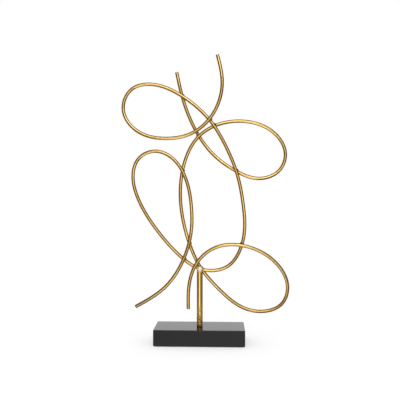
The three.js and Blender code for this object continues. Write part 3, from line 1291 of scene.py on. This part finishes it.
@dataclass
class FeltSheet:
    """The felt sheet glued under the block, with soft edges.

    Attributes:
        corner_radius: Radius of the cut corners.
        edge_radius: Rounding of the soft edge.
        edge_steps: Number of spans on the soft edge.
        nap: Depth of the uneven nap on the underside.
        nap_waves: Crossed waves of the nap, each in radians a metre to the right and in depth.
        flat_rings: Number of rings on a flat face.
        hub_share: Share of a flat face's size at which its innermost ring lies.
    """

    corner_radius: float = 0.003
    edge_radius: float = 0.0004
    edge_steps: int = 4
    nap: float = 0.00008
    nap_waves: tuple[tuple[float, float], ...] = ((2100.0, 900.0), (-600.0, 1700.0))
    flat_rings: int = 15
    hub_share: float = 0.03

    def surface(self) -> Surface:
        """Rings from the middle of the underside, round the soft edge, to the middle of the upper face.

        The underside has a nap of crossed waves, which lift it a little from the ground.

        Returns:
            The surface.
        """
        low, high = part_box("felt_sheet")
        outline = RoundedOutline((high.x - low.x) / 2, (high.y - low.y) / 2, self.corner_radius)
        turn = outline.directions()
        edge = quarter_round(self.edge_radius, self.edge_steps)
        flat_edge = outline.ring(turn, self.edge_radius)
        shares = np.linspace(self.hub_share, 1.0, self.flat_rings + 1)[:-1]
        rings = [(share * flat_edge, low.z) for share in shares]
        rings += [(outline.ring(turn, inset), low.z + drop) for inset, drop in edge]
        rings += [(outline.ring(turn, inset), high.z - drop) for inset, drop in edge[::-1]]
        rings += [(share * flat_edge, high.z) for share in shares[::-1]]
        points = stack_rings(rings)
        waves = np.sin(points[..., :2] @ np.array(self.nap_waves).T).mean(axis=-1)
        underside = points[..., 2] < (low.z + high.z) / 2
        points[..., 2] += np.where(underside, self.nap * (1 + waves) / 2, 0.0)
        return Surface(points)

    def build(self, finish: BlackFelt) -> None:
        """Makes the sheet.

        Args:
            finish: Its finish.
        """
        sheet = show(self.surface(), "felt_underlay", finish.material(), Slot.FELT, "felt_sheet")


@dataclass
class BoltSet:
    """The bolt and the washer inside the block, which keep their shapes from the frame.

    Attributes:
        nodes: CAD nodes of the two.
    """

    nodes: tuple[str, ...] = ("base_bolt", "bolt_washer")

    def build(self, finish: ZincPlate) -> None:
        """Plates both pieces.

        Args:
            finish: Their finish.
        """
        material = finish.material()
        for node in self.nodes:
            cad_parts[node].material_slots[0].material = material
            log.info("%s: %s", node, material.name)


@dataclass
class PhotoCamera:
    """The camera at the photograph's viewing angle.

    Attributes:
        distance: Distance from the post.
        height: Height above the ground.
        azimuth: Turn round the post, in degrees.
        sideways: Shift to the right.
        focal_pixels: Focal length in pixels of the photograph.
        frame_pixels: Width of the photograph.
        sensor: Width of the sensor, in millimetres.
    """

    distance: float = 0.970
    height: float = 0.2410
    azimuth: float = 2.2
    sideways: float = 0.0004
    focal_pixels: float = 572.0
    frame_pixels: float = 400.0
    sensor: float = 36.0

    def build(self) -> None:
        """Makes the camera, level and looking at the post's axis."""
        turn = math.radians(self.azimuth)
        data = bpy.data.cameras.new("photo_camera")
        data.sensor_width = self.sensor
        data.lens = self.focal_pixels / self.frame_pixels * self.sensor
        camera = bpy.data.objects.new("photo_camera", data)
        camera.location = (
            self.distance * math.sin(turn) + self.sideways * math.cos(turn),
            -self.distance * math.cos(turn) + self.sideways * math.sin(turn),
            self.height,
        )
        camera.rotation_euler = (math.pi / 2, 0.0, turn)
        bpy.context.scene.collection.objects.link(camera)
        bpy.context.scene.camera = camera


@dataclass(frozen=True)
class SoftLamp:
    """A soft rectangular lamp that points at the sculpture.

    Attributes:
        name: Name of the lamp.
        place: Where its middle is.
        width: Its width.
        height: Its height.
        radiance: Brightness of its face, where 1 is white.
    """

    name: str
    place: Place
    width: float
    height: float
    radiance: float

    def build(self, aim: Place) -> None:
        """Makes the lamp.

        Args:
            aim: Place that it points at.
        """
        data = bpy.data.lights.new(self.name, "AREA")
        data.shape = "RECTANGLE"
        data.size, data.size_y = self.width, self.height
        data.energy = self.radiance * math.pi * self.width * self.height
        lamp = bpy.data.objects.new(self.name, data)
        x, y, z = np.subtract(aim, self.place)
        lamp.location = self.place
        lamp.rotation_euler = (math.atan2(math.hypot(x, y), -z), 0.0, math.atan2(-x, y))
        lamp.visible_camera = False
        bpy.context.scene.collection.objects.link(lamp)


# Radius and height of the room that the cards stand in, and the height of their lower edges
ROOM = 1.5
ROOM_HEIGHT = 1.6
CARD_FOOT = 0.02

# Where the floor cards meet the block's sides and faces, and how far they reach
BLOCK_SIDE = 0.078
BLOCK_FACE = 0.0365
FLOOR_REACH = 1.3

# Heights of the floor cards, which lie above one another
DARK_CARD_HEIGHT = 0.0008
BRIGHT_CARD_HEIGHT = 0.0010
FRONT_CARD_HEIGHT = 0.0012

BACK_SHADE: Colour = (0.95, 0.88, 0.75)
DARK_FLOOR_SHADE: Colour = (0.209, 0.180, 0.128)


def standing(
    start: float, end: float, bottom: float = CARD_FOOT, top: float = ROOM_HEIGHT
) -> tuple[Place, ...]:
    """Corners of an upright card whose edges stand on a circle round the post.

    Args:
        start: Bearing of its left edge, in degrees from straight behind the sculpture to the right.
        end: Bearing of its right edge.
        bottom: Height of its lower edge.
        top: Height of its upper edge.

    Returns:
        The corners in order, from the lower left.
    """
    turns = [math.radians(bearing) for bearing in (start, end)]
    left, right = ((ROOM * math.sin(turn), ROOM * math.cos(turn)) for turn in turns)
    return (*left, bottom), (*right, bottom), (*right, top), (*left, top)


def level(height: float, *outline: tuple[float, float]) -> tuple[Place, ...]:
    """Corners of a level face, from its outline as seen from above."""
    return tuple((*corner, height) for corner in outline)


@dataclass(frozen=True)
class Card:
    """A card that shows in reflections only.

    Attributes:
        name: Name of the card.
        shade: Brightness of its red, green and blue.
        corners: Its corners in order.
        right_shade: Brightness at its right-hand end, or None for an even card.
    """

    name: str
    shade: Colour
    corners: tuple[Place, ...]
    right_shade: Colour | None = None


@dataclass
class Studio:
    """A white room with a pale floor, a soft lamp, and cards that only reflections show.

    Attributes:
        aim: Place that the lamp points at.
        lamp: The lamp.
        cards: The cards round the sculpture, above it and on the floor.
        room_light: Brightness of the room on rough surfaces.
        floor_colour: Colour of the floor.
        floor_size: Half of the floor's width.
        floor_near: Distance within which the floor takes the shadow in full.
        floor_far: Distance from which the floor has run into the white background.
        floor_glow: Share of white in the floor near the sculpture, which keeps the shadow light.
    """

    aim: Place = (0.0, 0.0, 0.25)
    lamp: SoftLamp = SoftLamp("key_lamp", (0.20, -1.90, 1.00), width=0.95, height=1.7, radiance=1.7)
    cards: tuple[Card, ...] = (
        Card("left_rear_card", (0.072, 0.053, 0.034), standing(-72.0, -36.0)),
        Card("left_back_card", BACK_SHADE, standing(-36.0, -10.0)),
        Card("right_back_card", BACK_SHADE, standing(10.0, 36.0)),
        Card("right_rear_card", (0.068, 0.050, 0.032), standing(36.0, 72.0)),
        Card("left_card", (0.184, 0.157, 0.107), standing(-162.0, -72.0)),
        Card("right_card", (0.131, 0.110, 0.075), standing(72.0, 142.0)),
        Card("upper_rear_card", (0.179, 0.142, 0.094), standing(-10.0, 10.0, bottom=0.95)),
        Card("low_left_card", (0.249, 0.209, 0.141), standing(-178.0, -160.0, bottom=0.0, top=0.13)),
        Card("front_card", (0.82, 0.78, 0.70), standing(142.0, 198.0, bottom=0.28, top=0.74)),
        Card("low_front_card", (1.55, 1.5, 1.35), standing(142.0, 182.0, bottom=0.0, top=0.28)),
        Card(
            "ceiling_card",
            (0.18, 0.16, 0.12),
            level(ROOM_HEIGHT, (-ROOM, -0.95), (ROOM, -0.95), (ROOM, ROOM), (-ROOM, ROOM)),
        ),
        Card(
            "left_floor_card",
            DARK_FLOOR_SHADE,
            level(
                DARK_CARD_HEIGHT,
                (-ROOM, -FLOOR_REACH),
                (-0.66, -FLOOR_REACH),
                (-BLOCK_SIDE, -0.09),
                (-BLOCK_SIDE, FLOOR_REACH),
                (-ROOM, FLOOR_REACH),
            ),
        ),
        Card(
            "right_floor_card",
            DARK_FLOOR_SHADE,
            level(
                DARK_CARD_HEIGHT,
                (0.28, -FLOOR_REACH),
                (ROOM, -FLOOR_REACH),
                (ROOM, FLOOR_REACH),
                (BLOCK_SIDE, FLOOR_REACH),
                (BLOCK_SIDE, -0.09),
            ),
        ),
        Card(
            "rear_floor_card",
            (0.184, 0.159, 0.115),
            level(
                DARK_CARD_HEIGHT,
                (-BLOCK_SIDE, BLOCK_FACE),
                (BLOCK_SIDE, BLOCK_FACE),
                (BLOCK_SIDE, FLOOR_REACH),
                (-BLOCK_SIDE, FLOOR_REACH),
            ),
        ),
        Card(
            "front_floor_card",
            (0.70, 0.70, 0.70),
            level(
                FRONT_CARD_HEIGHT,
                (-0.14, -0.22),
                (0.14, -0.22),
                (BLOCK_SIDE, -BLOCK_FACE),
                (-BLOCK_SIDE, -BLOCK_FACE),
            ),
            right_shade=(0.88, 0.88, 0.89),
        ),
        Card(
            "bright_floor_card",
            (1.4, 1.35, 1.2),
            level(BRIGHT_CARD_HEIGHT, (-0.34, -1.2), (0.20, -1.2), (0.06, -0.22), (-0.06, -0.22)),
        ),
    )
    room_light: float = 1.05
    floor_colour: Colour = (0.93, 0.93, 0.93)
    floor_size: float = 4.0
    floor_near: float = 0.35
    floor_far: float = 1.1
    floor_glow: float = 0.5

    def white_rays(self, sheet: NodeSheet) -> Socket:
        """Tells rays from the camera, in a reflection or through glass from the others.

        Args:
            sheet: Nodes of the world or the floor.

        Returns:
            A socket that is 1 for those rays and 0 for the others.
        """
        rays = sheet.add("LightPath", {}).outputs
        seen = sheet.most(rays["Is Camera Ray"], rays["Is Glossy Ray"])
        return sheet.most(seen, rays["Is Transmission Ray"])

    def light_world(self) -> None:
        """Makes a world that is white where it is seen, and a little brighter as light on matt things."""
        world = bpy.data.worlds.new("white_room")
        world.use_nodes = True
        sheet = NodeSheet(world.node_tree)
        world.node_tree.nodes.clear()
        light = sheet.add("Background", {"Color": shaded(WHITE), "Strength": self.room_light})
        seen = sheet.add("Background", {"Color": shaded(WHITE), "Strength": 1.0})
        values = {0: self.white_rays(sheet), 1: light.outputs[0], 2: seen.outputs[0]}
        mixed = sheet.add("MixShader", values)
        sheet.add("OutputWorld", {"Surface": mixed.outputs[0]})
        bpy.context.scene.world = world

    def plane(self, name: str, corners: tuple[Place, ...]) -> bpy.types.Object:
        """Makes a flat face that belongs to the stage.

        Args:
            name: Name of the plane.
            corners: Its corners in order.

        Returns:
            The plane.
        """
        mesh = bpy.data.meshes.new(name)
        mesh.from_pydata(corners, [], [range(len(corners))])
        plane = bpy.data.objects.new(name, mesh)
        bpy.context.scene.collection.objects.link(plane)
        return plane

    def lay_floor(self) -> None:
        """Makes the pale floor, which takes the shadow nearby and runs into the white further out."""
        size = self.floor_size
        corners = level(0.0, (-size, -size), (size, -size), (size, size), (-size, size))
        floor = self.plane("floor", corners)
        sheet, shader, material = new_material("pale_floor")
        place = sheet.object_place()
        away = sheet.add("VectorMath", {0: place}, operation="LENGTH").outputs["Value"]
        reach = (self.floor_near, self.floor_far)
        far = sheet.span(away, *reach, self.floor_glow, interpolation_type="SMOOTHSTEP")
        values = {"Base Color": shaded(self.floor_colour), "Roughness": 1.0, "Specular IOR Level": 0.0}
        sheet.fill(shader, values)
        white = sheet.add("Emission", {"Color": shaded(WHITE), "Strength": 1.0})
        share = sheet.times(far, self.white_rays(sheet))
        mixed = sheet.add("MixShader", {0: share, 1: shader.outputs[0], 2: white.outputs[0]})
        sheet.fill(sheet.tree.nodes["Material Output"], {"Surface": mixed.outputs[0]})
        floor.data.materials.append(material)

    def hang_card(self, card: Card) -> None:
        """Makes a card that shows in reflections only.

        Args:
            card: What it is like.
        """
        sheet, shader, material = new_material(card.name)
        glow = shaded(card.shade)
        if card.right_shade is not None:
            ends = [x for x, _, _ in card.corners]
            share = sheet.span(sheet.along("X", sheet.object_place()), min(ends), max(ends))
            glow = sheet.blend(share, card.shade, card.right_shade)
        values = {
            "Base Color": shaded(BLACK),
            "Specular IOR Level": 0.0,
            "Emission Color": glow,
            "Emission Strength": 1.0,
        }
        sheet.fill(shader, values)
        plane = self.plane(card.name, card.corners)
        plane.data.materials.append(material)
        plane.visible_camera = False
        plane.visible_diffuse = False
        plane.visible_shadow = False
        plane.visible_transmission = False

    def build(self) -> None:
        """Makes the room, the floor, the cards and the lamp."""
        bpy.context.scene.view_settings.view_transform = "Standard"
        self.light_world()
        self.lay_floor()
        for card in self.cards:
            self.hang_card(card)
        self.lamp.build(self.aim)


# Heights above the post's foot at which its darkening is strongest and at which it has gone
FOOT_DARKEST = 0.010
FOOT_DARKENING_END = 0.040

ROD_GOLD = GoldLeaf("rod_gold")
WELD_GOLD = GoldLeaf("weld_gold", smooth=0.16, rough=0.28, specks=0.2)
# The front post bead's crown: near-white cream colours and less metal make a painted highlight, with a
# gold rim round it.
PAINTED_HIGHLIGHT_WELD_GOLD = GoldLeaf(
    "painted_highlight_weld_gold",
    bright=(1.00, 0.89, 0.66),
    deep=(0.97, 0.83, 0.55),
    metal=0.75,
    smooth=0.34,
    rough=0.48,
    specks=0.0,
    rim=(0.86, 0.62, 0.27),
)


def post_gold(foot: float) -> GoldLeaf:
    """The post's leaf, brighter than the rods' and darkening to a matt brown at the foot.

    Args:
        foot: Height of the post's foot.

    Returns:
        The finish.
    """
    return GoldLeaf(
        "post_gold",
        bright=(1.00, 0.75, 0.25),
        deep=(0.94, 0.65, 0.16),
        ground=(0.15, 0.042, 0.016),
        foot_height=foot + FOOT_DARKENING_END,
        foot_bottom=foot + FOOT_DARKEST,
        foot_share=1.4,
        foot_dull=0.7,
        foot_matt=0.8,
    )


def main() -> None:
    """Builds the sculpture piece by piece, then the studio round it."""
    logging.basicConfig(level=logging.INFO, format="%(name)s: %(message)s")
    PhotoCamera().build()
    foot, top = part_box("post")
    # The left loop rod's tail is darkened towards its free end over 90 mm: a painted shade.
    left_loop = BentRod(
        "left_loop", "left_loop_rod", LEFT_LOOP_ROUTE, top.z, painted_shade=0.090, painted_shade_share=0.75
    )
    right_loop = BentRod("right_loop", "right_loop_rod", RIGHT_LOOP_ROUTE, top.z)
    rods = [left_loop, right_loop]
    for rod in rods:
        rod.build(ROD_GOLD)
    post = Post(rods, radius=(top.x - foot.x) / 2, foot=foot.z, top=top.z)
    post.build(post_gold(foot.z))
    weld_gold = WELD_GOLD.material()
    highlight_weld_gold = PAINTED_HIGHLIGHT_WELD_GOLD.material()
    # The front bead's pale crown is a painted highlight.
    Weld("post_bead_front", "post_weld_front", rods, post, crown=0.0013).build(highlight_weld_gold)
    Weld("post_bead_back", "post_weld_back", rods, post).build(weld_gold)
    for node in sorted(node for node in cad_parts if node.startswith("crossing_weld_")):
        Weld(node.replace("weld", "bead"), node, rods, post).build(weld_gold)
    BaseBlock().build(BlackLacquer())
    FeltSheet().build(BlackFelt())
    BoltSet().build(ZincPlate())
    Studio().build()


if __name__ == "__main__":
    main()
